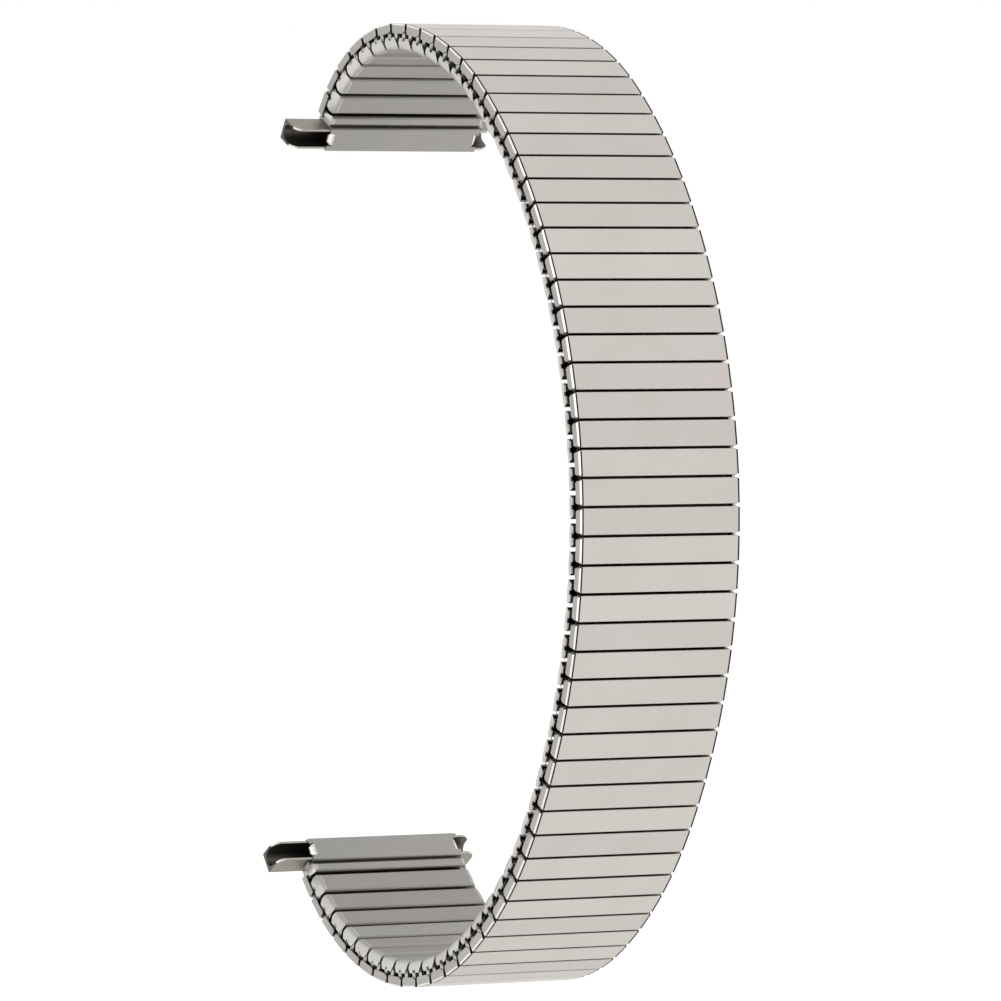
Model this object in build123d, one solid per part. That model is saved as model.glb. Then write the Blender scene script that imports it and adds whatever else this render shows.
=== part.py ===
from build123d import *
import os
from math import atan2, cos, degrees, hypot, radians, sin

# The band is curled in an upright plane. X runs across the wrist, the middle of
# the band bulges towards -Y, and its two ends lie one above the other.
# In a link's own frame x runs across the band, y along it towards the upper end
# and z outwards, away from the wrist. Height zero is the line between the rows.
# The origin is on the axis of the spring bar of the lower end, half way across.

# Rows. The gaps are those between neighbouring links of one row.
band_width = 16.0
row_gap = 0.14
outer_gap = 0.16
inner_gap = 0.40
sheet = 0.16

# Outer links
outer_end_wall = 0.18
outer_bevel = 0.17
outer_shoulder_depth = 0.60
tongue_drop = 0.64
tongue_half_width = 0.50

# Inner links
inner_edge_radius = 0.34
inner_end_wall = 0.16
inner_end_inset = 0.04
inner_end_bevel = 0.13
ear_rise = 0.19
ear_half_width = 0.36
ear_shoulder_depth = 0.43

# Staples
leg_width = 0.48
leg_thickness = 0.26
leg_spacing = 1.20
leg_length = 3.00
outer_leg_clearance = 0.022
inner_leg_clearance = 0.042
staple_corner = 0.08
post_end_clearance = 0.04
post_body_clearance = 0.05
notch_overlap = 0.03
stretch_tilt = 24.0

# Leaf springs
spring_thickness = 0.10
outer_spring_bow = 0.104
inner_spring_bow = 0.034
spring_side_clearance = 0.12
spring_end_clearance = 0.95
spring_flat_length = 3.00
spring_seat_clearance = 0.02

# End links
end_wall = 0.15
tube_thickness = 2.50
tube_corner = 0.25

# End inserts
bore_radius = 0.75
insert_clearance = 0.05
insert_sheet = 0.22
insert_length = 7.60
insert_left_out = 3.20
insert_right_out = 1.20
insert_lip_corner = 0.90

# Curl of the band, from its lowest outer link to its highest, in stretches. In each
# one so many joints follow one another, and each turns the band by the same angle.
first_heading = 227.1
joint_counts = [12, 6, 24, 5, 6, 6]
bend_angles = [6.7, 4.2, 2.8, 3.5, 5.9, 9.8]
end_turn = 6.0

# The band moves at jointed places, with a rigid run of links between two of them
links_per_run = 6
root_run = 5

# Cuts run past the faces that they open by this much
overrun = 0.5

# Sizes that follow from the ones above
half_width = band_width / 2
half_gap = row_gap / 2
leg_height = leg_spacing / 2
leg_reach = hypot(leg_width, leg_thickness) / 2
outer_leg_offset = inner_gap / 2 + sheet + inner_leg_clearance + leg_reach
inner_leg_offset = outer_gap / 2 + sheet + outer_leg_clearance + leg_reach
pitch = 2 * (outer_leg_offset + inner_leg_offset)
outer_length = pitch - outer_gap
inner_length = pitch - inner_gap
half_outer = outer_length / 2
half_inner = inner_length / 2
end_depth = max(outer_end_wall, inner_end_inset + inner_end_wall)
post_outside = half_width - end_depth - post_end_clearance
post_inside = post_outside - leg_thickness
notch_inside = post_inside - post_body_clearance
notch_height = leg_height - leg_thickness / 2 + notch_overlap
tilt_rise = leg_width / 2 * sin(radians(stretch_tilt)) + leg_thickness / 2 * cos(radians(stretch_tilt))
spring_low = leg_height + tilt_rise + spring_seat_clearance
spring_stack = spring_low + spring_thickness + spring_seat_clearance + sheet
outer_top = spring_stack + outer_spring_bow
inner_bottom = -spring_stack - inner_spring_bow
spring_half_length = half_width - spring_end_clearance
link_count = sum(joint_counts) + 1
run_count = link_count // links_per_run

# The end link, from the last outer link towards the free end: its short sleeve, and
# its tube with the insert's room and the axis of the spring bar
sleeve_start = -pitch / 2 - half_inner
sleeve_middle = sleeve_start + sheet + inner_leg_clearance + leg_reach
sleeve_end = 2 * sleeve_middle - sleeve_start
insert_reach = bore_radius + insert_sheet
tube_start = -half_outer
channel_start = tube_start + end_wall
bar_along = channel_start + insert_clearance + insert_reach
channel_end = bar_along + insert_reach + insert_clearance
tube_end = channel_end + end_wall
tube_bottom = outer_top - tube_thickness
bar_height = outer_top - end_wall - insert_clearance - insert_reach
lip_level = tube_bottom + end_wall + insert_clearance


def box_between(low, high):
    size = [b - a for a, b in zip(low, high)]
    centre = [(a + b) / 2 for a, b in zip(low, high)]
    return Pos(*centre) * Box(*size)


def rectangle_between(low, high):
    width = high[0] - low[0]
    height = high[1] - low[1]
    return Pos((low[0] + high[0]) / 2, (low[1] + high[1]) / 2) * Rectangle(width, height)


def along_x(sketch, x_from, x_to):
    return extrude(Plane.YZ.offset(x_from) * sketch, amount=x_to - x_from)


def at_both_ends(shape):
    return [shape, mirror(shape, about=Plane.YZ)]


# An outer link is a sheet sleeve closed at both ends. Each end wall narrows to a
# tongue that hides the staples. Behind it the sleeve is open towards the wrist.
def outer_link():
    inside = half_width - outer_end_wall
    body = box_between((-inside, -half_outer, half_gap), (inside, half_outer, outer_top))
    body -= box_between(
        (-inside, -half_outer + sheet, half_gap + sheet),
        (inside, half_outer - sheet, outer_top - sheet),
    )
    for notch in at_both_ends(
        box_between(
            (notch_inside, -half_outer - overrun, half_gap - overrun),
            (inside, half_outer + overrun, notch_height),
        )
    ):
        body -= notch
    for wall in at_both_ends(along_x(outer_end_wall_shape(), inside, half_width)):
        body += wall
    top_ends = body.edges().filter_by(Axis.Y).group_by(Axis.Z)[-1]
    return chamfer(top_ends, outer_bevel).solid()


def outer_end_wall_shape():
    shoulder = outer_top - outer_shoulder_depth
    tip = shoulder - tongue_drop
    return Polygon(
        (-half_outer, outer_top),
        (-half_outer, shoulder),
        (-tongue_half_width, tip),
        (tongue_half_width, tip),
        (half_outer, shoulder),
        (half_outer, outer_top),
        align=None,
    )


# An inner link is a sleeve too, with rounded edges towards the wrist. Its end
# walls rise between the tongues of the two outer links that it joins.
def inner_link():
    body = box_between(
        (-half_width + inner_end_inset, -half_inner, inner_bottom),
        (half_width - inner_end_inset, half_inner, -half_gap),
    )
    body = fillet(body.edges().filter_by(Axis.X).group_by(Axis.Z)[0], inner_edge_radius)
    inside = half_width - inner_end_inset - inner_end_wall
    hollow = box_between(
        (-inside, -half_inner + sheet, inner_bottom + sheet),
        (inside, half_inner - sheet, -half_gap - sheet),
    )
    hollow_edges = hollow.edges().filter_by(Axis.X).group_by(Axis.Z)[0]
    body -= fillet(hollow_edges, inner_edge_radius - sheet)
    rim = [edge for edge in body.edges() if is_wrist_side_rim(edge)]
    body = chamfer(rim, inner_end_bevel)
    for notch in at_both_ends(
        box_between(
            (notch_inside, -half_inner - overrun, -notch_height),
            (half_width + overrun, half_inner + overrun, overrun),
        )
    ):
        body -= notch
    for wall in at_both_ends(along_x(inner_ear(), inside, half_width - inner_end_inset)):
        body += wall
    return body.solid()


def is_wrist_side_rim(edge):
    box = edge.bounding_box()
    at_end = min(abs(box.min.X), abs(box.max.X)) > half_width - inner_end_inset - inner_end_wall / 2
    low = box.max.Z < inner_bottom + inner_edge_radius + inner_end_bevel / 2
    return at_end and low


def inner_ear():
    shoulder = -half_gap - ear_shoulder_depth
    top = ear_rise - half_gap
    return Polygon(
        (-half_inner, -notch_height - sheet),
        (half_inner, -notch_height - sheet),
        (half_inner, shoulder),
        (ear_half_width, top),
        (-ear_half_width, top),
        (-half_inner, shoulder),
        align=None,
    )


# A staple is flat wire bent to a U. Its frame sits on the axis of its outer leg,
# and its post drops from there to the inner leg.
def staple():
    half_leg = leg_width / 2
    half_wire = leg_thickness / 2
    leg_start = post_outside - leg_length
    body = box_between((leg_start, -half_leg, -half_wire), (post_outside, half_leg, half_wire))
    body += Pos(0, 0, -leg_spacing) * body
    body += box_between(
        (post_inside, -half_leg, -leg_spacing - half_wire),
        (post_outside, half_leg, half_wire),
    )
    bends = body.edges().filter_by(Axis.Y).group_by(Axis.X)[-1]
    return chamfer(bends, staple_corner).solid()


# A leaf spring is a bowed strip. Its ends lie over the staple legs and its middle
# bears on the wall of the link.
def leaf_spring(strip_width, bow, outwards):
    bow_half = spring_half_length - spring_flat_length
    lower = [
        (-spring_half_length, spring_low),
        (-bow_half, spring_low),
        (0, spring_low + bow),
        (bow_half, spring_low),
        (spring_half_length, spring_low),
    ]
    upper = [(x, z + spring_thickness) for x, z in reversed(lower)]
    outline = [(x, outwards * z) for x, z in lower + upper]
    strip = extrude(Plane.XZ * Polygon(*outline, align=None), amount=strip_width / 2, both=True)
    return strip.solid()


# An end link is folded sheet: a short sleeve round the inner legs of the last
# staples, and a square tube that the inserts slide in. Its tube is towards +y.
def end_link():
    face = half_width - inner_end_inset
    inside = face - inner_end_wall
    body = box_between((-face, sleeve_start, inner_bottom), (face, sleeve_end, -half_gap))
    body = fillet(body.edges().filter_by(Axis.X).group_by(Axis.Z)[0], inner_edge_radius)
    room = box_between(
        (-inside, sleeve_start + sheet, inner_bottom + sheet),
        (inside, sleeve_end - sheet, -half_gap - sheet),
    )
    body -= fillet(room.edges().filter_by(Axis.X).group_by(Axis.Z)[0], inner_edge_radius - sheet)
    body += box_between((-face, sleeve_end - sheet, -notch_height), (face, tube_start, -half_gap))
    for notch in at_both_ends(
        box_between(
            (notch_inside, sleeve_start - overrun, -notch_height),
            (half_width + overrun, tube_start, overrun),
        )
    ):
        body -= notch
    for wall in at_both_ends(along_x(end_ear(), inside, face)):
        body += wall
    tube = box_between((-half_width, tube_start, tube_bottom), (half_width, tube_end, outer_top))
    long_edges = tube.edges().filter_by(Axis.X)
    far_edges = long_edges.group_by(Axis.Y)[-1]
    near_edge = long_edges.group_by(Axis.Y)[0].sort_by(Axis.Z)[:1]
    tube = fillet(far_edges + near_edge, tube_corner)
    tube -= box_between(
        (-half_width - overrun, channel_start, tube_bottom + end_wall),
        (half_width + overrun, channel_end, outer_top - end_wall),
    )
    return (body + tube).solid()


def end_ear():
    shoulder = -half_gap - ear_shoulder_depth
    top = ear_rise - half_gap
    return Polygon(
        (sleeve_start, -notch_height - sheet),
        (tube_start, -notch_height - sheet),
        (tube_start, top),
        (-pitch / 2 - ear_half_width, top),
        (sleeve_start, shoulder),
        align=None,
    )


# An insert is a folded channel, open towards the wrist. Its back is rounded inside
# to the spring bar. Its inner end is at x zero and its tip towards +x.
def end_insert():
    outline = rectangle_between(
        (bar_along - insert_reach, lip_level),
        (bar_along + insert_reach, bar_height + insert_reach),
    )
    outline -= Pos(bar_along, bar_height) * Circle(bore_radius)
    outline -= rectangle_between(
        (bar_along - bore_radius, lip_level - overrun),
        (bar_along + bore_radius, bar_height),
    )
    body = along_x(outline, 0, insert_length)
    lip_tips = body.edges().filter_by(Axis.Y).group_by(Axis.Z)[0].group_by(Axis.X)[-1]
    return fillet(lip_tips, insert_lip_corner).solid()


# A place on the band is where a link's frame sits: y, z and the heading of the
# link's y axis. The links follow the curl half a pitch at a time.
def half_step(place, turn):
    y, z, heading = place
    direction = radians(heading - turn / 4)
    reach = pitch / 2
    return (y + reach * cos(direction), z + reach * sin(direction), heading - turn / 2)


def curl():
    outer = [(0, 0, first_heading)]
    inner = []
    for count, turn in zip(joint_counts, bend_angles):
        for _ in range(count):
            inner.append(half_step(outer[-1], turn))
            outer.append(half_step(inner[-1], turn))
    return outer, inner


# An end link hangs on the inner legs of the staples at the edge of the last outer
# link. Side is +1 at the upper end of the band and -1 at the lower one.
def end_place(last, side):
    foot = point_at(last, side * outer_leg_offset, -leg_height)
    heading = last[2] - side * end_turn
    hang = point_at((0, 0, heading), side * sleeve_middle, -leg_height)
    return (foot[0] - hang[0], foot[1] - hang[1], heading)


def point_at(place, along, out):
    y, z, heading = place
    a = radians(heading)
    return (y + along * cos(a) - out * sin(a), z + along * sin(a) + out * cos(a))


def moved_by(place, shift):
    return (place[0] - shift[0], place[1] - shift[1], place[2])


def put(shape, place):
    return shape.moved(Location((0, place[0], place[1]), (place[2], 0, 0)))


# Outer links are counted from 1, and inner link k lies above outer link k
outer_list, inner_list = curl()
lower_place = end_place(outer_list[0], -1)
upper_place = end_place(outer_list[-1], 1)
lower_bar = point_at(lower_place, -bar_along, bar_height)
lower_place = moved_by(lower_place, lower_bar)
upper_place = moved_by(upper_place, lower_bar)
outer_places = {k: moved_by(place, lower_bar) for k, place in enumerate(outer_list, 1)}
inner_places = {k: moved_by(place, lower_bar) for k, place in enumerate(inner_list, 1)}


# A staple's place sits on its outer leg in outer link k and leans towards its inner
# leg. Side is +1 for the staples at the upper edge of the outer link and -1 for those
# at its lower edge. The outermost ones, which hold the end links, stand straight.
def staple_place(k, side):
    top = point_at(outer_places[k], side * outer_leg_offset, leg_height)
    inner = inner_places.get(k if side > 0 else k - 1)
    if inner is None:
        return (top[0], top[1], outer_places[k][2])
    foot = point_at(inner, -side * inner_leg_offset, -leg_height)
    lean = degrees(atan2(foot[1] - top[1], foot[0] - top[0]))
    return (top[0], top[1], lean + 90)


def staple_foot(k, side):
    return point_at(staple_place(k, side), 0, -leg_spacing)


outer_shape = outer_link()
inner_shape = inner_link()
staple_shape = staple()
end_shape = end_link()
insert_shape = end_insert()
outer_spring = leaf_spring(
    2 * (half_outer - sheet - spring_side_clearance), outer_spring_bow, 1)
inner_spring = leaf_spring(
    2 * (half_inner - sheet - spring_side_clearance), inner_spring_bow, -1)
end_spring = leaf_spring(
    sleeve_end - sleeve_start - 2 * (sheet + spring_side_clearance), inner_spring_bow, -1
).moved(Location((0, sleeve_middle, 0)))
turned_over = Location((0, 0, 0), (0, 0, 180))


def staple_pair(k, side):
    place = staple_place(k, side)
    return [put(shape, place) for shape in (staple_shape, staple_shape.moved(turned_over))]


nodes = {}

# Runs of links, from the lower end to the upper end. The staples at the edge of a
# run that faces the root run belong to it, and so do those that hold an end link.
# Those at its other edge swing.
for run in range(1, run_count + 1):
    first = (run - 1) * links_per_run + 1
    last = run * links_per_run
    label = f"{run:02d}"
    nodes["outer_links_" + label] = [put(outer_shape, outer_places[k]) for k in range(first, last + 1)]
    nodes["inner_links_" + label] = [put(inner_shape, inner_places[k]) for k in range(first, last)]
    works = [put(outer_spring, outer_places[k]) for k in range(first, last + 1)]
    works += [put(inner_spring, inner_places[k]) for k in range(first, last)]
    for k in range(first, last):
        works += staple_pair(k, 1)
        works += staple_pair(k + 1, -1)
    if run > root_run or run == 1:
        works += staple_pair(first, -1)
    if run < root_run or run == run_count:
        works += staple_pair(last, 1)
    nodes["staples_and_springs_" + label] = works

# Jointed places between two runs, from the lower end to the upper end
for joint in range(1, run_count):
    k = joint * links_per_run
    label = f"{joint:02d}"
    nodes["bridge_link_" + label] = [put(inner_shape, inner_places[k]), put(inner_spring, inner_places[k])]
    upwards = joint >= root_run
    swinging = (k, 1) if upwards else (k + 1, -1)
    fixed = (k + 1, -1) if upwards else (k, 1)
    nodes["swing_staples_" + label] = staple_pair(*swinging)
    axes = [staple_place(*swinging)[:2], staple_foot(*swinging), staple_foot(*fixed)]
    text = " ".join(f"{value:.5f}" for axis in axes for value in axis)
    print("joint", label, 1 if upwards else -1, text)

# End links with their springs, and the inserts in them
ends = {"lower": (lower_place, turned_over), "upper": (upper_place, Location())}
for name, (place, turn) in ends.items():
    nodes[name + "_end_link"] = [put(end_shape.moved(turn), place)]
    nodes[name + "_end_spring"] = [put(end_spring.moved(turn), place)]
    for side, out in (("left", insert_left_out), ("right", insert_right_out)):
        start = half_width + out - insert_length
        shape = insert_shape.moved(Location((start, 0, 0)))
        if side == "left":
            shape = mirror(shape, about=Plane.YZ)
        if name == "lower":
            shape = mirror(shape, about=Plane.XZ)
        nodes[name + "_" + side + "_insert"] = [put(shape.solid(), place)]
    side = 1 if name == "upper" else -1
    bar = point_at(place, side * bar_along, bar_height)
    print("spring bar", name, f"y {bar[0]:.5f} z {bar[1]:.5f} radius {bore_radius:.4f}")
    hinge = point_at(place, side * sleeve_middle, -leg_height)
    print("end hinge", name, f"y {hinge[0]:.5f} z {hinge[1]:.5f}")

os.makedirs("parts", exist_ok=True)
for name, solids in nodes.items():
    export_step(Compound(children=solids), f"parts/{name}.step")
print("nodes", len(nodes), "solids", sum(len(solids) for solids in nodes.values()))
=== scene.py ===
from math import cos, hypot, radians, sin

import bmesh
import bpy
from mathutils import Matrix, Vector


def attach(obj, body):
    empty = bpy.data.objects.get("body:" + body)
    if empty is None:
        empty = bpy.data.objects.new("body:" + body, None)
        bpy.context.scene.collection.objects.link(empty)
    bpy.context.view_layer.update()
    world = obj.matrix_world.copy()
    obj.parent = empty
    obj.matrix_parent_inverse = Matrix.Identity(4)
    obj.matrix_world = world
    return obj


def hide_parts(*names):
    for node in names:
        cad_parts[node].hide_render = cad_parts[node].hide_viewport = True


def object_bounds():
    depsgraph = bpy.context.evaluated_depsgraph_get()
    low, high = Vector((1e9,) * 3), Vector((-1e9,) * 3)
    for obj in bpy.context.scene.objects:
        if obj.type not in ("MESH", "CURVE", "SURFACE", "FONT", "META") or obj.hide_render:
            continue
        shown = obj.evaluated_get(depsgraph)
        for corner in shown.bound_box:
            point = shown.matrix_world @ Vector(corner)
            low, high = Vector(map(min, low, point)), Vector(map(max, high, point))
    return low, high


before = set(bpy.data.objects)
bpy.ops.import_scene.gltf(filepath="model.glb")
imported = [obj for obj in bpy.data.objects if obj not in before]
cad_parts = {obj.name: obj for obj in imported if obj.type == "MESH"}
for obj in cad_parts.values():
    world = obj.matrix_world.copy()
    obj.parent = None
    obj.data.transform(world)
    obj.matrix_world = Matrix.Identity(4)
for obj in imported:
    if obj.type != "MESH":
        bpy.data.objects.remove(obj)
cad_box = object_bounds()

# The curl. The band is two rows of sleeves on tilting staples, so it bends between any two links, and it
# lies in an upright curl. The inner links sit half a pitch further on than the outer ones. Sizes here are
# in millimetres, and a mesh becomes metres when it is finished.
millimetre = 0.001
outer_gap = 0.16
inner_gap = 0.40
sheet = 0.16
leg_width = 0.48
leg_thickness = 0.26
leg_spacing = 1.20
outer_leg_clearance = 0.022
inner_leg_clearance = 0.042
stretch_tilt = 24.0
spring_thickness = 0.10
spring_play = 0.04
outer_spring_bow = 0.104
first_heading = 227.1
bend_counts = [12, 6, 24, 5, 6, 6]
bend_angles = [6.7, 4.2, 2.8, 3.5, 5.9, 9.8]
end_turn = 6.0

leg_reach = hypot(leg_width, leg_thickness) / 2
outer_leg_offset = inner_gap / 2 + sheet + inner_leg_clearance + leg_reach
inner_leg_offset = outer_gap / 2 + sheet + outer_leg_clearance + leg_reach
pitch = 2 * (outer_leg_offset + inner_leg_offset)
half_outer = (pitch - outer_gap) / 2
half_inner = (pitch - inner_gap) / 2
tilt_rise = leg_width / 2 * sin(radians(stretch_tilt)) + leg_thickness / 2 * cos(radians(stretch_tilt))
spring_stack = leg_spacing / 2 + tilt_rise + spring_thickness + spring_play + sheet
outer_top = spring_stack + outer_spring_bow

end_wall = 0.15
bore_radius = 0.75
insert_sheet = 0.22
insert_clearance = 0.05
insert_reach = bore_radius + insert_sheet
sleeve_start = -pitch / 2 - half_inner
sleeve_middle = sleeve_start + sheet + inner_leg_clearance + leg_reach
tube_start = -half_outer
bar_along = tube_start + end_wall + insert_clearance + insert_reach
bar_height = outer_top - end_wall - insert_clearance - insert_reach


def half_step(place, turn):
    y, z, heading = place
    direction = radians(heading - turn / 4)
    return (y + pitch / 2 * cos(direction), z + pitch / 2 * sin(direction), heading - turn / 2)


def point_at(place, along, out):
    y, z, heading = place
    a = radians(heading)
    return (y + along * cos(a) - out * sin(a), z + along * sin(a) + out * cos(a))


def end_place(last, side):
    """Where the end link hangs on the outer link next to it."""
    foot = point_at(last, side * outer_leg_offset, -leg_spacing / 2)
    heading = last[2] - side * end_turn
    hang = point_at((0, 0, heading), side * sleeve_middle, -leg_spacing / 2)
    return (foot[0] - hang[0], foot[1] - hang[1], heading)


outer_places = [(0, 0, first_heading)]
inner_places = []
for count, turn in zip(bend_counts, bend_angles):
    for _ in range(count):
        inner_places.append(half_step(outer_places[-1], turn))
        outer_places.append(half_step(inner_places[-1], turn))
end_places = [end_place(outer_places[0], -1), end_place(outer_places[-1], 1)]
bar = point_at(end_places[0], -bar_along, bar_height)
outer_places, inner_places, end_places = [
    [(y - bar[0], z - bar[1], heading) for y, z, heading in places]
    for places in (outer_places, inner_places, end_places)]

# Sheet steel, drawn and rolled lengthwise, so that its grain runs across the band. Every piece is made of it. The
# faces are satin, the cut edges smoother with a painted highlight, the walls carry painted light and shade, and the
# gaps painted shade.
line_detail = 3.0
drift_scale = 190.0
green_change = -0.35
# Painted shade: the near-black colour that gaps, grooves and hollows take
painted_shade_colour = (0.035, 0.029, 0.025, 1)
# Painted highlight: the bright colour of cut edges, bevels and tabs, which the same marks also make smoother
painted_highlight_colour = (0.82, 0.79, 0.74, 1)
cut_smoother = -0.1
line_roughness = 0.12
relief_depth = 0.00001


def shader_group(name, inputs, outputs):
    group = bpy.data.node_groups.new(name, "ShaderNodeTree")
    for title, kind, value in inputs:
        socket = group.interface.new_socket(title, in_out="INPUT", socket_type=kind)
        if value is not None:
            socket.default_value = value
    for title, kind in outputs:
        group.interface.new_socket(title, in_out="OUTPUT", socket_type=kind)
    return group


def node(tree, kind, links=(), **values):
    made = tree.nodes.new(kind)
    for key, value in values.items():
        if key.startswith("in_"):
            made.inputs[int(key[3:])].default_value = value
        else:
            setattr(made, key, value)
    for index, source in links:
        tree.links.new(source, made.inputs[index])
    return made


# Grain: long fine lines along x, and a slow drift of tone along the piece
grain = shader_group(
    "rolled grain",
    [("Line Length", "NodeSocketFloat", 0.004), ("Line Spacing", "NodeSocketFloat", 0.00008)],
    [("Lines", "NodeSocketFloat"), ("Drift", "NodeSocketFloat")],
)
given = node(grain, "NodeGroupInput")
place = node(grain, "ShaderNodeTexCoord")
along = node(grain, "ShaderNodeMath", [(1, given.outputs["Line Length"])], operation="DIVIDE", in_0=1.0)
across = node(grain, "ShaderNodeMath", [(1, given.outputs["Line Spacing"])], operation="DIVIDE", in_0=1.0)
scales = node(grain, "ShaderNodeCombineXYZ", [
    (0, along.outputs[0]), (1, across.outputs[0]), (2, across.outputs[0])])
stretched = node(grain, "ShaderNodeVectorMath", [
    (0, place.outputs["Object"]), (1, scales.outputs[0])], operation="MULTIPLY")
lines = node(grain, "ShaderNodeTexNoise", [(0, stretched.outputs[0])])
lines.inputs["Scale"].default_value = 1.0
lines.inputs["Detail"].default_value = line_detail
slow = node(grain, "ShaderNodeTexNoise", [(0, place.outputs["Object"])])
slow.inputs["Scale"].default_value = drift_scale
slow.inputs["Detail"].default_value = 1.0
result = node(grain, "NodeGroupOutput")
grain.links.new(lines.outputs[0], result.inputs["Lines"])
grain.links.new(slow.outputs[0], result.inputs["Drift"])

# Finish: the face's colour, shifted a little from link to link, with a painted highlight where the sheet is cut or
# bevelled, the wall colour painted on end walls and flaps as their light and shade, and painted shade in the gaps
finish = shader_group(
    "link finish",
    [
        ("Face", "NodeSocketColor", None), ("Wall", "NodeSocketColor", None),
        ("Painted Highlight", "NodeSocketColor", None), ("Painted Shade", "NodeSocketColor", None),
        ("Lines", "NodeSocketFloat", 0.5), ("Drift", "NodeSocketFloat", 0.5),
        ("Line Contrast", "NodeSocketFloat", 0.1), ("Drift Contrast", "NodeSocketFloat", 0.1),
        ("Tone Contrast", "NodeSocketFloat", 0.04),
    ],
    [("Colour", "NodeSocketColor"), ("Shine", "NodeSocketFloat")],
)
given = node(finish, "NodeGroupInput")
marks = {
    title: node(finish, "ShaderNodeAttribute", attribute_name=title) for title in ("wall", "cut", "painted_shade", "tone")
}


def mixed(tree, amount, first, second):
    mix = node(tree, "ShaderNodeMix", data_type="RGBA")
    tree.links.new(amount, mix.inputs[0])
    tree.links.new(first, mix.inputs[6])
    tree.links.new(second, mix.inputs[7])
    return mix.outputs[2]


def centred(tree, value, contrast):
    shifted = node(tree, "ShaderNodeMath", [(0, value)], operation="SUBTRACT", in_1=0.5)
    return node(tree, "ShaderNodeMath", [(0, shifted.outputs[0]), (1, contrast)], operation="MULTIPLY").outputs[0]


colour = mixed(finish, marks["wall"].outputs["Fac"], given.outputs["Face"], given.outputs["Wall"])
colour = mixed(finish, marks["cut"].outputs["Fac"], colour, given.outputs["Painted Highlight"])
line_shift = centred(finish, given.outputs["Lines"], given.outputs["Line Contrast"])
drift_shift = centred(finish, given.outputs["Drift"], given.outputs["Drift Contrast"])
tone_shift = node(finish, "ShaderNodeMath", [
    (0, marks["tone"].outputs["Fac"]), (1, given.outputs["Tone Contrast"])], operation="MULTIPLY").outputs[0]
shift = node(finish, "ShaderNodeMath", [(0, line_shift), (1, drift_shift)], operation="ADD").outputs[0]
shift = node(finish, "ShaderNodeMath", [(0, shift), (1, tone_shift)], operation="ADD").outputs[0]
gain = node(finish, "ShaderNodeMath", [(0, shift)], operation="ADD", in_1=1.0).outputs[0]
warm = node(finish, "ShaderNodeMath", [(0, drift_shift), (1, tone_shift)], operation="SUBTRACT").outputs[0]
green = node(finish, "ShaderNodeMath", [(0, warm), (2, gain)], operation="MULTIPLY_ADD",
             in_1=green_change).outputs[0]
gains = node(finish, "ShaderNodeCombineColor", [(0, gain), (1, green), (2, gain)])
toned = node(finish, "ShaderNodeMix", data_type="RGBA", blend_type="MULTIPLY")
toned.inputs[0].default_value = 1.0
finish.links.new(colour, toned.inputs[6])
finish.links.new(gains.outputs[0], toned.inputs[7])
colour = mixed(finish, marks["painted_shade"].outputs["Fac"], toned.outputs[2], given.outputs["Painted Shade"])
result = node(finish, "NodeGroupOutput")
finish.links.new(colour, result.inputs["Colour"])
finish.links.new(marks["cut"].outputs["Fac"], result.inputs["Shine"])


def steel(name, face, wall, roughness, line_contrast, drift_contrast, bump):
    made = bpy.data.materials.new(name)
    made.use_nodes = True
    tree = made.node_tree
    shader = tree.nodes["Principled BSDF"]
    shader.inputs["Metallic"].default_value = 1.0
    texture = node(tree, "ShaderNodeGroup", node_tree=grain)
    look = node(tree, "ShaderNodeGroup", node_tree=finish)
    look.inputs["Face"].default_value = (*face, 1)
    look.inputs["Wall"].default_value = (*wall, 1)
    look.inputs["Painted Highlight"].default_value = painted_highlight_colour
    look.inputs["Painted Shade"].default_value = painted_shade_colour
    look.inputs["Line Contrast"].default_value = line_contrast
    look.inputs["Drift Contrast"].default_value = drift_contrast
    tree.links.new(texture.outputs["Lines"], look.inputs["Lines"])
    tree.links.new(texture.outputs["Drift"], look.inputs["Drift"])
    tree.links.new(look.outputs["Colour"], shader.inputs["Base Color"])
    rough = node(tree, "ShaderNodeMath", [(0, look.outputs["Shine"])], operation="MULTIPLY_ADD",
                 in_1=cut_smoother, in_2=roughness)
    varied = node(tree, "ShaderNodeMath", [(0, texture.outputs["Lines"]), (2, rough.outputs[0])],
                  operation="MULTIPLY_ADD", in_1=line_roughness)
    tree.links.new(varied.outputs[0], shader.inputs["Roughness"])
    relief = node(tree, "ShaderNodeBump")
    relief.inputs["Strength"].default_value = bump
    relief.inputs["Distance"].default_value = relief_depth
    tree.links.new(texture.outputs["Lines"], relief.inputs["Height"])
    tree.links.new(relief.outputs["Normal"], shader.inputs["Normal"])
    return made


# Outer links. Each is a folded sleeve of satin sheet, closed by a pressed cap at each end. A seam shows
# between face and cap, the cap's edge is bevelled, and below its wall the sleeve is open for the staples.
# Its end walls take the darker wall colour: painted shade.
satin_steel = steel("satin steel", face=(0.60, 0.565, 0.53), wall=(0.42, 0.405, 0.385), roughness=0.33,
                    line_contrast=0.10, drift_contrast=0.10, bump=0.2)
band_width = 16.0
row_gap = 0.14
notch_inside = 7.45
notch_height = 0.58
face_edge = 0.07
face_end = 7.74
cap_start = 7.89
cap_bevel = 0.15
cap_side_bevel = 0.08
cap_half_start = 1.05
groove_depth = 0.12
neck_half = 0.88
groove_shade = 0.80
cap_low = 0.36
cap_shoulder = 0.60
cap_low_half = 0.84
gap_shade_depth = 0.30
arc_steps = 4
outer_rounding = 0.02
rounding_segments = 2
rounded_from = 35
slack = 0.01
wall_facing = 0.3
bevel_facing = 0.4
side_facing = 0.7
links_per_run = 6
outer_play = 0.25
tone_seed_step = 11.0

half_width = band_width / 2
half_gap = row_gap / 2
run_count = len(outer_places) // links_per_run


def arc(y, z, radius, first, last, steps=arc_steps):
    turns = [radians(first + (last - first) * i / steps) for i in range(steps + 1)]
    return [(y + radius * cos(a), z + radius * sin(a)) for a in turns]


def at(x, outline):
    """The outline in y and z, set up at this x."""
    return [(x, y, z) for y, z in outline]


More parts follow.
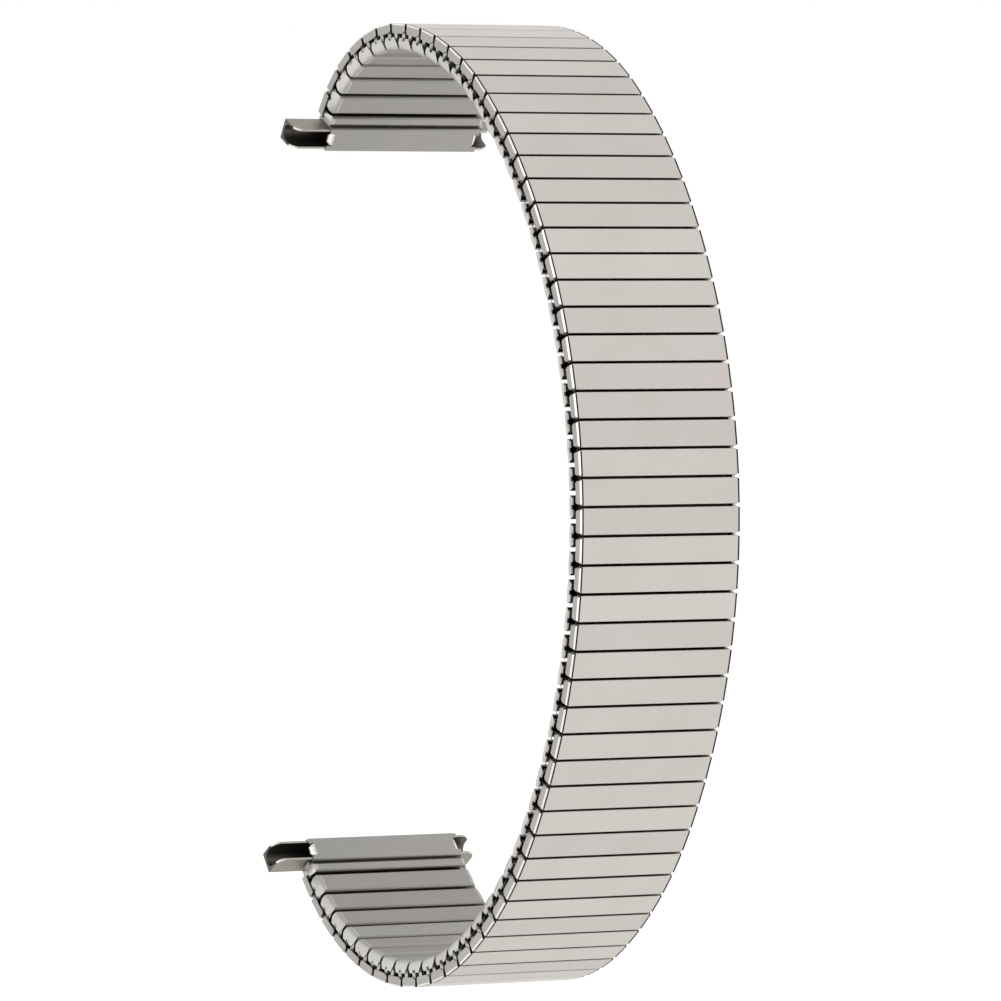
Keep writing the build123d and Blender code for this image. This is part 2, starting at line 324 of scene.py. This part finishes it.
def loft(*rings, columns=1, dome=0.0):
    """A closed shell through rings of equally many points, its two ends flat or domed."""
    work = bmesh.new()
    loops = [[work.verts.new(point) for point in ring] for ring in rings]
    for one, other in zip(loops, loops[1:]):
        for i in range(len(one)):
            work.faces.new((one[i - 1], one[i], other[i], other[i - 1]))
    for ring, side in ((loops[0], -1), (loops[-1], 1)):
        if columns == 1:
            work.faces.new(ring)
            continue
        rows = []
        for one, other in zip(ring[1:len(ring) // 2 - 1], reversed(ring[len(ring) // 2 + 1:-1])):
            rows.append([one])
            for column in range(1, columns):
                spot = one.co.lerp(other.co, column / columns)
                spot.x += side * dome * (1 - (2 * column / columns - 1) ** 2)
                rows[-1].append(work.verts.new(spot))
            rows[-1].append(other)
        for one, other in zip(rows, rows[1:]):
            for i in range(columns):
                work.faces.new((one[i], one[i + 1], other[i + 1], other[i]))
        work.faces.new((ring[-1], ring[0], *rows[0]))
        work.faces.new((ring[len(ring) // 2 - 1], ring[len(ring) // 2], *reversed(rows[-1])))
    bmesh.ops.recalc_face_normals(work, faces=work.faces)
    shape = bpy.data.meshes.new("shape")
    work.to_mesh(shape)
    work.free()
    return shape


def block(low, high):
    outline = [(low[1], low[2]), (high[1], low[2]), (high[1], high[2]), (low[1], high[2])]
    return loft(at(low[0], outline), at(high[0], outline))


def turned_left(shape):
    """The same shape for the other end of the link."""
    other = shape.copy()
    other.transform(Matrix.Scale(-1, 4, (1, 0, 0)))
    other.flip_normals()
    return other


def made_of(name, base, joined, cut, added, rounding):
    """One mesh from a base with shapes joined on, cut out and added, its sharp edges rounded."""
    blank = bpy.data.objects.new(name, base)
    bpy.context.scene.collection.objects.link(blank)
    tools = []
    for operation, shapes in (("UNION", joined), ("DIFFERENCE", cut), ("UNION", added)):
        for shape in shapes:
            tool = bpy.data.objects.new(name + "_tool", shape)
            bpy.context.scene.collection.objects.link(tool)
            tools.append(tool)
            step = blank.modifiers.new("shape", "BOOLEAN")
            step.operation = operation
            step.solver = "EXACT"
            step.object = tool
    if rounding:
        edges = blank.modifiers.new("edges", "BEVEL")
        edges.width = rounding
        edges.segments = rounding_segments
        edges.limit_method = "ANGLE"
        edges.angle_limit = radians(rounded_from)
    seen = blank.evaluated_get(bpy.context.evaluated_depsgraph_get())
    mesh = bpy.data.meshes.new_from_object(seen)
    for unwanted in [blank, *tools]:
        bpy.data.objects.remove(unwanted)
    return mesh


def marked(mesh, rule):
    """Writes how much of each corner of each face takes the wall's painted light and shade, the cut edge's painted
    highlight and painted shade, as the rule says.
    """
    layers = [mesh.attributes.new(title, "FLOAT", "CORNER") for title in ("wall", "cut", "painted_shade")]
    for polygon in mesh.polygons:
        for loop in polygon.loop_indices:
            spot = mesh.vertices[mesh.loops[loop].vertex_index].co
            for layer, value in zip(layers, rule(polygon.normal, polygon.center, spot)):
                layer.data[loop].value = value
    return mesh


def clamped(value):
    return min(1.0, max(0.0, value))


def shield(half, top, low, shoulder, low_half):
    return [(-half, top), (-half, shoulder), (-low_half, low), (low_half, low), (half, shoulder), (half, top)]


sleeve_outline = [(-half_outer, half_gap), (half_outer, half_gap), (half_outer, outer_top - gap_shade_depth)]
sleeve_outline += arc(half_outer - face_edge, outer_top - face_edge, face_edge, 0, 90)
sleeve_outline += arc(-half_outer + face_edge, outer_top - face_edge, face_edge, 90, 180)
sleeve_outline += [(-half_outer, outer_top - gap_shade_depth)]
cap = loft(
    at(cap_start, shield(cap_half_start, outer_top, cap_low, cap_shoulder, cap_low_half)),
    at(half_width, shield(cap_half_start - cap_side_bevel, outer_top - cap_bevel, cap_low, cap_shoulder,
                          cap_low_half)),
)
neck = block((notch_inside, -neck_half, notch_height), (cap_start + sheet / 4, neck_half, outer_top - groove_depth))
hollow = block(
    (-cap_start, -half_outer + sheet, half_gap + sheet), (cap_start, half_outer - sheet, outer_top - sheet))
notch = block((notch_inside, -half_outer - sheet, half_gap - sheet), (cap_start, half_outer + sheet, notch_height))


# Painted shade on the end walls, a painted highlight on the caps' bevels, and painted shade in the hollow, in the
# seam's groove and deepening down the sides into the gaps
def outer_marks(normal, centre, spot):
    across = abs(centre.x)
    outwards = normal.x * centre.x > 0
    beyond = across > face_end - slack
    wall = 1.0 if outwards and abs(normal.x) > wall_facing and across > cap_start else 0.0
    bevel = 1.0 if outwards and beyond and abs(normal.x) > bevel_facing and normal.z > bevel_facing else 0.0
    if bevel or wall:
        return wall, bevel, 0.0
    if across < cap_start + 2 * slack and abs(centre.y) < half_outer - sheet + 2 * slack \
            and centre.z < outer_top - sheet + 2 * slack:
        return 0.0, 0.0, 1.0
    if beyond:
        return 0.0, 0.0, groove_shade if across < cap_start + slack else 0.0
    side = abs(normal.y) > side_facing or normal.z < -side_facing
    return 0.0, 0.0, clamped((outer_top - face_edge - spot.z) / gap_shade_depth) if side else 0.0


outer_link = marked(
    made_of("outer_link", loft(at(-face_end, sleeve_outline), at(face_end, sleeve_outline)),
            [neck, turned_left(neck), cap, turned_left(cap)], [hollow, notch, turned_left(notch)], [],
            outer_rounding),
    outer_marks)

# The tree that lays links along the curl, each turned to its heading with a little play
laying = bpy.data.node_groups.new("links along the curl", "GeometryNodeTree")
for title, kind, value in (
    ("Places", "NodeSocketGeometry", None), ("Link", "NodeSocketObject", None),
    ("Finish", "NodeSocketMaterial", None), ("Play", "NodeSocketFloat", 0.004), ("Seed", "NodeSocketInt", 1),
):
    socket = laying.interface.new_socket(title, in_out="INPUT", socket_type=kind)
    if value is not None:
        socket.default_value = value
laying.interface.new_socket("Links", in_out="OUTPUT", socket_type="NodeSocketGeometry")
given = node(laying, "NodeGroupInput")
heading = node(laying, "GeometryNodeInputNamedAttribute", data_type="FLOAT")
heading.inputs["Name"].default_value = "heading"
least = node(laying, "ShaderNodeMath", [(0, given.outputs["Play"])], operation="MULTIPLY", in_1=-1.0)
play = node(laying, "FunctionNodeRandomValue", data_type="FLOAT")
laying.links.new(least.outputs[0], play.inputs[2])
laying.links.new(given.outputs["Play"], play.inputs[3])
laying.links.new(given.outputs["Seed"], play.inputs["Seed"])
turn = node(laying, "ShaderNodeMath", [(0, heading.outputs["Attribute"]), (1, play.outputs[1])], operation="ADD")
turns = node(laying, "ShaderNodeCombineXYZ", [(0, turn.outputs[0])])
link_shape = node(laying, "GeometryNodeObjectInfo", [(0, given.outputs["Link"])])
laid = node(laying, "GeometryNodeInstanceOnPoints", [
    (0, given.outputs["Places"]), (2, link_shape.outputs["Geometry"])])
laying.links.new(turns.outputs[0], laid.inputs["Rotation"])
tone = node(laying, "FunctionNodeRandomValue", data_type="FLOAT")
tone.inputs[2].default_value = -1.0
tone.inputs[3].default_value = 1.0
later = node(laying, "ShaderNodeMath", [(0, given.outputs["Seed"])], operation="ADD", in_1=tone_seed_step)
laying.links.new(later.outputs[0], tone.inputs["Seed"])
toned = node(laying, "GeometryNodeStoreNamedAttribute", [(0, laid.outputs[0])], data_type="FLOAT", domain="INSTANCE")
toned.inputs["Name"].default_value = "tone"
laying.links.new(tone.outputs[1], toned.inputs["Value"])
whole = node(laying, "GeometryNodeRealizeInstances", [(0, toned.outputs[0])])
painted = node(laying, "GeometryNodeSetMaterial", [(0, whole.outputs[0]), (2, given.outputs["Finish"])])
result = node(laying, "NodeGroupOutput", [(0, painted.outputs[0])])


def link_object(name, mesh):
    """A link in metres that the tree copies, and that isn't shown itself."""
    mesh.transform(Matrix.Scale(millimetre, 4))
    return bpy.data.objects.new(name, mesh)


def lay(name, link, places, material, play, seed):
    """One plain mesh of the links at these places."""
    points = bpy.data.meshes.new(name)
    points.from_pydata([(0, y * millimetre, z * millimetre) for y, z, _ in places], [], [])
    headings = points.attributes.new("heading", "FLOAT", "POINT")
    for i, (_, _, angle) in enumerate(places):
        headings.data[i].value = radians(angle)
    holder = bpy.data.objects.new(name, points)
    bpy.context.scene.collection.objects.link(holder)
    tree = holder.modifiers.new("laying", "NODES")
    tree.node_group = laying
    sockets = {s.name: s.identifier for s in laying.interface.items_tree if s.in_out == "INPUT"}
    tree[sockets["Link"]] = link
    tree[sockets["Finish"]] = material
    tree[sockets["Play"]] = radians(play)
    tree[sockets["Seed"]] = seed
    seen = holder.evaluated_get(bpy.context.evaluated_depsgraph_get())
    mesh = bpy.data.meshes.new_from_object(seen)
    holder.modifiers.remove(tree)
    holder.data = mesh
    return holder


outer_master = link_object("outer_link_master", outer_link)
for run in range(1, run_count + 1):
    label = f"{run:02d}"
    first = (run - 1) * links_per_run
    sleeves = lay("outer_sleeves_" + label, outer_master, outer_places[first:first + links_per_run],
                  satin_steel, outer_play, run)
    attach(sleeves, "links_" + label)
    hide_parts("outer_links_" + label)

# Inner links. Each is a sleeve too, rounded towards the wrist and brushed across the band. A domed flap
# closes each end and leans in towards the wrist, with a notch at its top for the staple.
# The flaps take the lighter wall colour, a painted highlight that gives way to the darker face colour towards the
# wrist edge as painted shade.
brushed_steel = steel("brushed steel", face=(0.36, 0.345, 0.325), wall=(0.60, 0.585, 0.56), roughness=0.36,
                      line_contrast=0.30, drift_contrast=0.12, bump=0.5)
inner_spring_bow = 0.034
inner_bottom = -spring_stack - inner_spring_bow
inner_edge = 0.34
flap_out = 8.04
flap_thickness = 0.08
flap_top = 0.0
flap_dome = 0.05
flap_columns = 6
flap_lean = [(0.0, 0.0), (-0.12, 0.0), (-0.35, 0.02), (-0.60, 0.08), (-0.82, 0.17), (-1.00, 0.27), (-1.16, 0.38)]
flap_corner = (0.26, 0.50)
flap_notch_half = 0.20
flap_notch_low = -0.26
# Share of the flaps' painted highlight on their side edges
flap_edge_wall = 0.6
overlap = 0.1
inner_rounding = 0.025
square_facing = 0.9
inner_play = 0.3
inner_seed = 40
bridge_seed = 80


def lean_at(z):
    """How far the flap stands back from the band's side at this height."""
    for (z0, lean0), (z1, lean1) in zip(flap_lean, flap_lean[1:]):
        if z >= z1:
            return lean0 + (lean1 - lean0) * (z0 - z) / (z0 - z1)
    return flap_lean[-1][1]


def inner_outline(inset, half, high):
    low, radius = inner_bottom + inset, inner_edge - inset
    half -= inset
    levels = [z for z, _ in flap_lean[1:-2] if z < high]
    left = [(-half, high)] + [(-half, z) for z in levels] + arc(-half + radius, low + radius, radius, 180, 270)
    return left + [(-y, z) for y, z in reversed(left)]


def leaning(outline, out):
    """The end of a sleeve whose outline stands back as the flap leans."""
    return [(out - lean_at(z), y, z) for y, z in outline]


def mirrored(ring):
    return [(-x, y, z) for x, y, z in ring]


def closed_sleeve(half):
    outline = inner_outline(0, half, flap_top)
    start = at(notch_inside, outline)
    end = leaning(outline, flap_out)
    return loft(mirrored(end), mirrored(start), start, end, columns=flap_columns, dome=flap_dome)


def sleeve_room(half):
    end = leaning(inner_outline(sheet, half, -half_gap - sheet), flap_out - flap_thickness)
    return loft(mirrored(end), end)


def flap_cuts(half):
    """What is cut away at one end: the opening for the staples, the flap's notch and its upper corners."""
    wide, high = flap_corner
    drop = high * (wide + sheet) / wide
    behind = flap_out - flap_thickness
    cuts = [
        block((-overlap, -half - sheet, -half_gap), (behind, half + sheet, flap_top + sheet)),
        block((notch_inside, -half - sheet, -notch_height), (behind, half + sheet, flap_top + sheet)),
        block((behind - overlap, -flap_notch_half, flap_notch_low),
              (flap_out + overlap, flap_notch_half, flap_top + sheet)),
    ]
    for side in (-1, 1):
        corner = [(side * (half - wide), flap_top), (side * (half + sheet), flap_top),
                  (side * (half + sheet), flap_top - drop)]
        cuts.append(loft(at(behind - overlap, corner), at(flap_out + overlap, corner)))
    return cuts


# Painted light on the flaps, fading towards the wrist edge, and painted shade in the hollow, on faces turned to the
# outer row and deepening up the sides into the gaps
def inner_marks(normal, centre, spot, half=half_inner):
    across = abs(centre.x)
    at_end = across > notch_inside + slack
    if at_end and normal.x * centre.x > 0 and abs(normal.x) > wall_facing:
        return clamped((spot.z - inner_bottom) / inner_edge), 0.0, 0.0
    if at_end and across > flap_out - flap_thickness - lean_at(centre.z) - 3 * slack:
        return flap_edge_wall, 0.0, 0.0
    inside = abs(centre.y) < half - sheet + 3 * slack \
        and inner_bottom + sheet - 3 * slack < centre.z < -half_gap - 2 * slack
    if inside or normal.z > square_facing:
        return 0.0, 0.0, 1.0
    side = abs(normal.y) > square_facing
    return 0.0, 0.0, clamped((spot.z - inner_bottom - inner_edge) / gap_shade_depth) if side else 0.0


cuts = flap_cuts(half_inner)
inner_link = marked(
    made_of("inner_link", closed_sleeve(half_inner), [], [sleeve_room(half_inner), *cuts, *map(turned_left, cuts)],
            [], inner_rounding), inner_marks)
inner_master = link_object("inner_link_master", inner_link)
for run in range(1, run_count + 1):
    label = f"{run:02d}"
    first = (run - 1) * links_per_run
    sleeves = lay("inner_sleeves_" + label, inner_master, inner_places[first:first + links_per_run - 1],
                  brushed_steel, inner_play, inner_seed + run)
    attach(sleeves, "links_" + label)
    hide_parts("inner_links_" + label)
for joint in range(1, run_count):
    label = f"{joint:02d}"
    sleeve = lay("bridge_sleeve_" + label, inner_master, [inner_places[joint * links_per_run - 1]],
                 brushed_steel, 0.0, bridge_seed + joint)
    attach(sleeve, "bridge_" + label)
    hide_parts("bridge_link_" + label)

# Staples and leaf springs. The staples are drawn flat wire bent to a U, pushed in from the side, and the
# springs are strips of spring steel. Only the staples' posts show, between the two rows.
spring_steel = steel("spring steel", face=(0.56, 0.54, 0.51), wall=(0.56, 0.54, 0.51), roughness=0.34,
                     line_contrast=0.15, drift_contrast=0.10, bump=0.3)


def dress(obj, material):
    if not obj.material_slots:
        obj.data.materials.append(material)
    for used in obj.material_slots:
        used.material = material


for name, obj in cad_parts.items():
    if "staples" in name or name.endswith("_spring"):
        dress(obj, spring_steel)

# End links. Each is folded sheet, a short sleeve over the last staples and a square tube beside it. Its
# wrist wall ends in a tab at each side, bent into the tube's mouth.
# Its flaps and the tube's rims take the lighter wall colour and its tabs the cut colour, as painted highlight; the
# inside of the tube is painted shade.
end_steel = steel("end link steel", face=(0.36, 0.345, 0.33), wall=(0.66, 0.64, 0.61), roughness=0.34,
                  line_contrast=0.25, drift_contrast=0.10, bump=0.4)
tube_corner = 0.25
tube_thickness = 2.50
tube_bottom = outer_top - tube_thickness
tube_end = bar_along + insert_reach + insert_clearance + end_wall
lip_level = tube_bottom + end_wall + insert_clearance
sleeve_half = sleeve_middle - sleeve_start
tube_half = 7.64
tab_half = 0.55
tab_shoulder = 0.35
tab_start = 7.00
tab_curve = [(0.0, 0.0), (0.27, 0.08), (0.46, 0.20), (0.57, 0.34), (0.61, 0.48),
             (0.53, 0.48), (0.47, 0.38), (0.37, 0.27), (0.22, 0.19), (0.0, 0.14)]
tab_side = 0.72
tab_rings = [(-tab_half, tab_side), (-tab_shoulder, 1.0), (tab_shoulder, 1.0), (tab_half, tab_side)]
channel_edge = 0.10
tab_rise = 0.36
mouth_facing = 0.5
# Share of the painted highlight on the tube's rims
mouth_wall = 0.6
sleeve_side_shade = 0.9
sleeve_side_low = -0.45
end_rounding = 0.03
end_seed = 100

tube_outline = [(tube_start, outer_top), (tube_start, tube_bottom + tube_corner)]
tube_outline += arc(tube_start + tube_corner, tube_bottom + tube_corner, tube_corner, 180, 270)
tube_outline += arc(tube_end - tube_corner, tube_bottom + tube_corner, tube_corner, 270, 360)
tube_outline += arc(tube_end - tube_corner, outer_top - tube_corner, tube_corner, 0, 90)
tube = loft(at(-tube_half, tube_outline), at(tube_half, tube_outline))
channel = block((-tube_half - sheet, tube_start + end_wall, tube_bottom + end_wall),
                (tube_half + sheet, tube_end - end_wall, outer_top - end_wall))
web = block((-notch_inside, sleeve_middle, -notch_height), (notch_inside, tube_start + end_wall / 2, -half_gap))
short_sleeve = closed_sleeve(sleeve_half)
short_cuts = flap_cuts(sleeve_half)
short_cuts += [sleeve_room(sleeve_half), *map(turned_left, short_cuts)]
for shape in (short_sleeve, *short_cuts):
    shape.transform(Matrix.Translation((0, sleeve_middle, 0)))
end_sleeve = made_of("end_sleeve", short_sleeve, [], short_cuts, [], 0)
tab = loft(*[[(tab_start + x * share, bar_along + y, tube_bottom + z * share) for x, z in tab_curve]
             for y, share in tab_rings])
tab_room = block((tab_start + sheet, bar_along - tab_half - insert_clearance, tube_bottom - sheet),
                 (tube_half + sheet, bar_along + tab_half + insert_clearance, tube_bottom + end_wall + sheet))


# The sleeve is marked as an inner link; a painted highlight on the tabs and the tube's rims, and painted shade
# inside the tube and on its upper side towards the sleeve
def end_marks(normal, centre, spot):
    if centre.y < tube_start - 2 * slack:
        from_sleeve = Vector((centre.x, centre.y - sleeve_middle, centre.z))
        return inner_marks(normal, from_sleeve, spot, sleeve_half)
    on_tab = abs(centre.x) > tab_start + 2 * slack and abs(centre.y - bar_along) < tab_half + slack \
        and tube_bottom + slack < centre.z < lip_level + tab_rise
    if on_tab:
        return 0.0, 1.0, 0.0
    if abs(normal.x) > mouth_facing and abs(centre.x) > tube_half - 3 * slack:
        return mouth_wall, 0.0, 0.0
    if tube_start + channel_edge < centre.y < tube_end - channel_edge \
            and tube_bottom + channel_edge < centre.z < outer_top - channel_edge:
        return 0.0, 0.0, 1.0
    return 0.0, 0.0, sleeve_side_shade if normal.y < -side_facing and sleeve_side_low < centre.z else 0.0


end_link = made_of("end_link", tube, [], [channel, tab_room, turned_left(tab_room)],
                   [web, end_sleeve, tab, turned_left(tab)], end_rounding)
marked(end_link, end_marks)
turned_end_link = end_link.copy()
turned_end_link.transform(Matrix.Rotation(radians(180), 4, "Z"))
for name, mesh, place in (("lower", turned_end_link, end_places[0]), ("upper", end_link, end_places[1])):
    piece = lay(name + "_end_link_sheet", link_object(name + "_end_master", mesh), [place], end_steel, 0.0,
                end_seed)
    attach(piece, name + "_end")
    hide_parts(name + "_end_link")

# End inserts. Each is a channel folded from sheet, open towards the wrist, with its lips cut round at the
# tip. Its back holds the spring bar, and it slides in an end link's tube.
# The tip's end face takes the near-black wall colour and the trough painted shade, lighter towards the mouth as
# painted light reaching in; the lips' cut edges carry a painted highlight.
insert_steel = steel("insert steel", face=(0.33, 0.32, 0.275), wall=(0.08, 0.078, 0.062), roughness=0.42,
                     line_contrast=0.20, drift_contrast=0.15, bump=0.4)
insert_length = 7.60
left_out = 3.20
right_out = 1.20
lip_corner = 0.90
fold_radius = 0.12
bore_steps = 12
lip_steps = 8
bore_slack = 0.015
mouth_reach = 2.4
mouth_light = 0.35
tip_shade = 0.3
tip_facing = 0.2
lip_light = 0.3
tip_light = 0.8
insert_rounding = 0.02
insert_seed = 110

channel_outline = [(bar_along - insert_reach, lip_level)]
channel_outline += arc(bar_along - insert_reach + fold_radius, bar_height + insert_reach - fold_radius,
                       fold_radius, 180, 90)
channel_outline += arc(bar_along + insert_reach - fold_radius, bar_height + insert_reach - fold_radius,
                       fold_radius, 90, 0)
channel_outline += [(bar_along + insert_reach, lip_level), (bar_along + bore_radius, lip_level)]
channel_outline += arc(bar_along, bar_height, bore_radius, 0, 180, bore_steps)
channel_outline += [(bar_along - bore_radius, lip_level)]
lip_cut = [(insert_length - lip_corner, lip_level - sheet), (insert_length + sheet, lip_level - sheet),
           (insert_length + sheet, lip_level + lip_corner)]
lip_cut += arc(insert_length - lip_corner, lip_level + lip_corner, lip_corner, 0, -90, lip_steps)
lip_tool = loft(*[[(x, y, z) for x, z in lip_cut]
                  for y in (bar_along - insert_reach - sheet, bar_along + insert_reach + sheet)])


# Painted shade in the trough, lighter towards the mouth, and dark on the tip's end face; a painted highlight on the
# lips' cut edges
def insert_marks(normal, centre, spot):
    from_bar = hypot(centre.y - bar_along, centre.z - bar_height)
    within = abs(centre.y - bar_along) < bore_radius + bore_slack
    if (within and centre.z < bar_height) or from_bar < bore_radius + bore_slack:
        return 0.0, 0.0, 1.0 - mouth_light * clamped((spot.x - insert_length + mouth_reach) / mouth_reach)
    if normal.x > square_facing:
        return 1.0, 0.0, tip_shade
    if normal.z < -wall_facing and centre.z < lip_level + lip_corner:
        return 0.0, tip_light if normal.x > tip_facing else lip_light, 0.0
    return 0.0, 0.0, 0.0


insert = marked(
    made_of("insert", loft(at(0, channel_outline), at(insert_length, channel_outline)), [], [lip_tool], [],
            insert_rounding),
    insert_marks)
for end, place, turn in (("lower", end_places[0], 180), ("upper", end_places[1], 0)):
    for side, out in (("left", left_out), ("right", right_out)):
        # Turned round for the lower end, a right insert points left
        points_left = (side == "left") != (end == "lower")
        drawn = insert.copy()
        drawn.transform(Matrix.Translation((half_width + out - insert_length, 0, 0)))
        if points_left:
            drawn = turned_left(drawn)
        drawn.transform(Matrix.Rotation(radians(turn), 4, "Z"))
        name = f"{end}_{side}_insert"
        piece = lay(name + "_channel", link_object(name + "_master", drawn), [place], insert_steel, 0.0,
                    insert_seed)
        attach(piece, name)
        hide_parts(name)

# The studio: a pale floor, a white surround, a soft box on the left and a fill on the right. The floor shows
# as white, to the camera and in the steel, and keeps the shadow. It lies low enough for every pose.
lowest, highest = cad_box
centre = (lowest + highest) / 2
floor_size = 1.2
floor_drop = 0.016
floor_paint = (0.93, 0.93, 0.93, 1)
floor_roughness = 0.9
whitening = 0.30
lamp_surround = 0.8
white_surround = 1.0


def seen_directly(tree):
    """1 where the camera looks, straight or in a shiny face, and 0 for the light that falls on the band."""
    rays = node(tree, "ShaderNodeLightPath")
    seen = rays.outputs["Is Camera Ray"]
    for title in ("Is Glossy Ray", "Is Transmission Ray"):
        seen = node(tree, "ShaderNodeMath", [(0, seen), (1, rays.outputs[title])], operation="MAXIMUM").outputs[0]
    return seen


floor_mesh = bpy.data.meshes.new("floor")
floor_mesh.from_pydata(
    [(x * floor_size, y * floor_size, lowest.z - floor_drop) for x, y in ((-1, -1), (1, -1), (1, 1), (-1, 1))],
    [], [(0, 1, 2, 3)])
floor = bpy.data.objects.new("floor", floor_mesh)
bpy.context.scene.collection.objects.link(floor)
pale = bpy.data.materials.new("pale floor")
pale.use_nodes = True
paint = pale.node_tree.nodes["Principled BSDF"]
paint.inputs["Base Color"].default_value = floor_paint
paint.inputs["Roughness"].default_value = floor_roughness
ground = pale.node_tree
glow = node(ground, "ShaderNodeMath", [(0, seen_directly(ground))], operation="MULTIPLY", in_1=whitening)
paint.inputs["Emission Color"].default_value = (1, 1, 1, 1)
ground.links.new(glow.outputs[0], paint.inputs["Emission Strength"])
floor_mesh.materials.append(pale)

world = bpy.data.worlds.new("studio")
bpy.context.scene.world = world
world.use_nodes = True
sky = world.node_tree
surround = sky.nodes["Background"]
surround.inputs["Color"].default_value = (1, 1, 1, 1)
level = node(sky, "ShaderNodeMath", [(0, seen_directly(sky))], operation="MULTIPLY_ADD",
             in_1=white_surround - lamp_surround, in_2=lamp_surround)
sky.links.new(level.outputs[0], surround.inputs["Strength"])


def soft_box(name, direction, distance, width, height, power):
    lamp = bpy.data.lights.new(name, "AREA")
    lamp.shape = "RECTANGLE"
    lamp.size = width
    lamp.size_y = height
    lamp.energy = power
    made = bpy.data.objects.new(name, lamp)
    bpy.context.scene.collection.objects.link(made)
    way = Vector(direction).normalized()
    made.location = centre + way * distance
    made.rotation_euler = way.to_track_quat("Z", "Y").to_euler()
    made.visible_camera = False


soft_box("left box", direction=(-0.95, -0.22, 0.15), distance=0.5, width=0.45, height=0.6, power=0.7)
soft_box("front fill", direction=(0.5, -0.85, 0.6), distance=0.7, width=0.5, height=0.5, power=0.06)

# The camera stands where the photo was taken: far off, to the left of the bulge and a little above.
image_size = 1001
focal_pixels = 9025
camera_yaw = 30.92
camera_pitch = -3.48
camera_roll = 1.14
left_gap_offset = (2.813, -1.262)
distance_pitches = 315.4
yaw, slope, roll = radians(camera_yaw), radians(camera_pitch), radians(camera_roll)
ahead = Vector((sin(yaw) * cos(slope), cos(yaw) * cos(slope), sin(slope)))
level_right = Vector((cos(yaw), -sin(yaw), 0))
level_up = level_right.cross(ahead)
right = level_right * cos(roll) + level_up * sin(roll)
up = level_up * cos(roll) - level_right * sin(roll)
middle_gap = point_at(inner_places[29], 0, outer_top)
seen_point = Vector((-half_width, middle_gap[0], middle_gap[1]))
spot = seen_point - pitch * (right * left_gap_offset[0] + up * left_gap_offset[1] + ahead * distance_pitches)
lens = bpy.data.cameras.new("camera")
lens.sensor_width = 36
lens.lens = lens.sensor_width * focal_pixels / image_size
lens.clip_start = 0.05
lens.clip_end = 20
camera = bpy.data.objects.new("camera", lens)
bpy.context.scene.collection.objects.link(camera)
camera.matrix_world = Matrix.Translation(spot * millimetre) @ Matrix((right, up, -ahead)).transposed().to_4x4()
bpy.context.scene.camera = camera
bpy.context.scene.view_settings.view_transform = "Standard"
